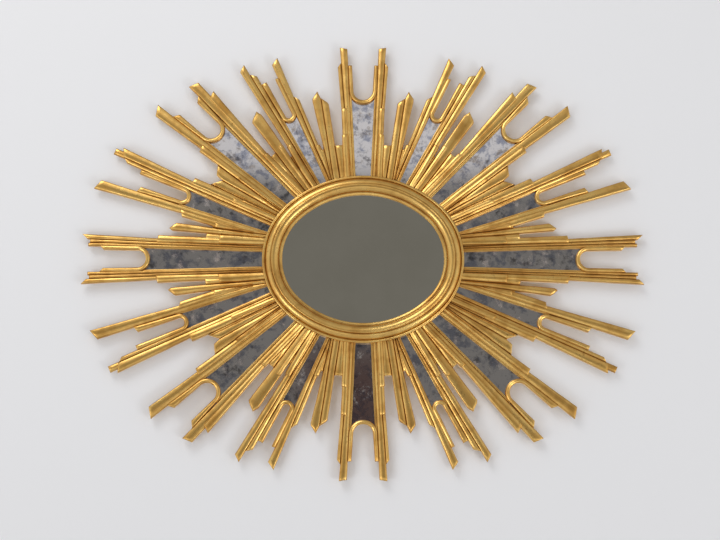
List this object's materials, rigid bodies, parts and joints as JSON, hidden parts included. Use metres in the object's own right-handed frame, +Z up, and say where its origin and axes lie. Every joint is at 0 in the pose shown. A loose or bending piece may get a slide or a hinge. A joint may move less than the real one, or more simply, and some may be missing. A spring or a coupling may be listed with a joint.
{
  "type": "sunburst mirror",
  "caption": "Oval wall mirror in a carved giltwood sunburst frame, with forked reeded rays that hold tapered panes of antiqued mirror glass.",
  "frame": {"origin": "centre of the back board's rear face, which is the wall plane behind the middle of the oval glass", "axes": "+X to the right as seen from the front, +Z up the wall, +Y into the wall, so the front faces -Y"},
  "size_m": [1.0392, 0.0359, 0.8118],
  "materials": {
    "gilt_moulding": "satin gilding over bole and gesso, lightly rubbed",
    "gilt_rays": "satin gilding over bole and gesso, rubbed, brown in the grooves",
    "antique_mirror": "polished glass with foxed silvering",
    "centre_mirror": "polished glass with aged silvering",
    "plywood": "plain sanded plywood",
    "brass_wire": "dull brass",
    "zinc_steel": "zinc plated"
  },
  "bodies": {
    "mirror": {"back_board": "plywood", "centre_mirror": "centre_mirror", "centre_packing": "plywood", "clamp_screws": "zinc_steel", "fork_bottom": "gilt_rays", "fork_left": "gilt_rays", "fork_narrow_lower_left": "gilt_rays", "fork_narrow_lower_right": "gilt_rays", "fork_narrow_upper_left": "gilt_rays", "fork_narrow_upper_right": "gilt_rays", "fork_right": "gilt_rays", "fork_steep_lower_left": "gilt_rays", "fork_steep_lower_right": "gilt_rays", "fork_steep_upper_left": "gilt_rays", "fork_steep_upper_right": "gilt_rays", "fork_top": "gilt_rays", "fork_wide_lower_left": "gilt_rays", "fork_wide_lower_right": "gilt_rays", "fork_wide_upper_left": "gilt_rays", "fork_wide_upper_right": "gilt_rays", "hanger_straps": "zinc_steel", "oval_moulding": "gilt_moulding", "pane_bottom": "antique_mirror", "pane_left": "antique_mirror", "pane_narrow_lower_left": "antique_mirror", "pane_narrow_lower_right": "antique_mirror", "pane_narrow_upper_left": "antique_mirror", "pane_narrow_upper_right": "antique_mirror", "pane_right": "antique_mirror", "pane_slats": "plywood", "pane_steep_lower_left": "antique_mirror", "pane_steep_lower_right": "antique_mirror", "pane_steep_upper_left": "antique_mirror", "pane_steep_upper_right": "antique_mirror", "pane_top": "antique_mirror", "pane_wide_lower_left": "antique_mirror", "pane_wide_lower_right": "antique_mirror", "pane_wide_upper_left": "antique_mirror", "pane_wide_upper_right": "antique_mirror", "ray_level_lower_left": "gilt_rays", "ray_level_lower_right": "gilt_rays", "ray_level_upper_left": "gilt_rays", "ray_level_upper_right": "gilt_rays", "ray_middle_lower_left": "gilt_rays", "ray_middle_lower_right": "gilt_rays", "ray_middle_upper_left": "gilt_rays", "ray_middle_upper_right": "gilt_rays", "ray_upright_lower_left": "gilt_rays", "ray_upright_lower_right": "gilt_rays", "ray_upright_upper_left": "gilt_rays", "ray_upright_upper_right": "gilt_rays", "strap_screws": "zinc_steel", "web_block_lower_left": "gilt_rays", "web_block_lower_right": "gilt_rays", "web_block_upper_left": "gilt_rays", "web_block_upper_right": "gilt_rays"},
    "ring_left": {"hanger_ring_left": "brass_wire"},
    "ring_right": {"hanger_ring_right": "brass_wire"}
  },
  "joints": [
    {"name": "ring_left_hinge", "type": "hinge", "parent": "mirror", "child": "ring_left", "pos_m": [-0.17172, -0.00574, 0.22871], "axis": [0.8187, 0, 0.5742], "range_deg": [0, 170]},
    {"name": "ring_right_hinge", "type": "hinge", "parent": "mirror", "child": "ring_right", "pos_m": [0.17172, -0.00574, 0.22871], "axis": [0.8187, 0, -0.5742], "range_deg": [0, 170]}
  ]
}
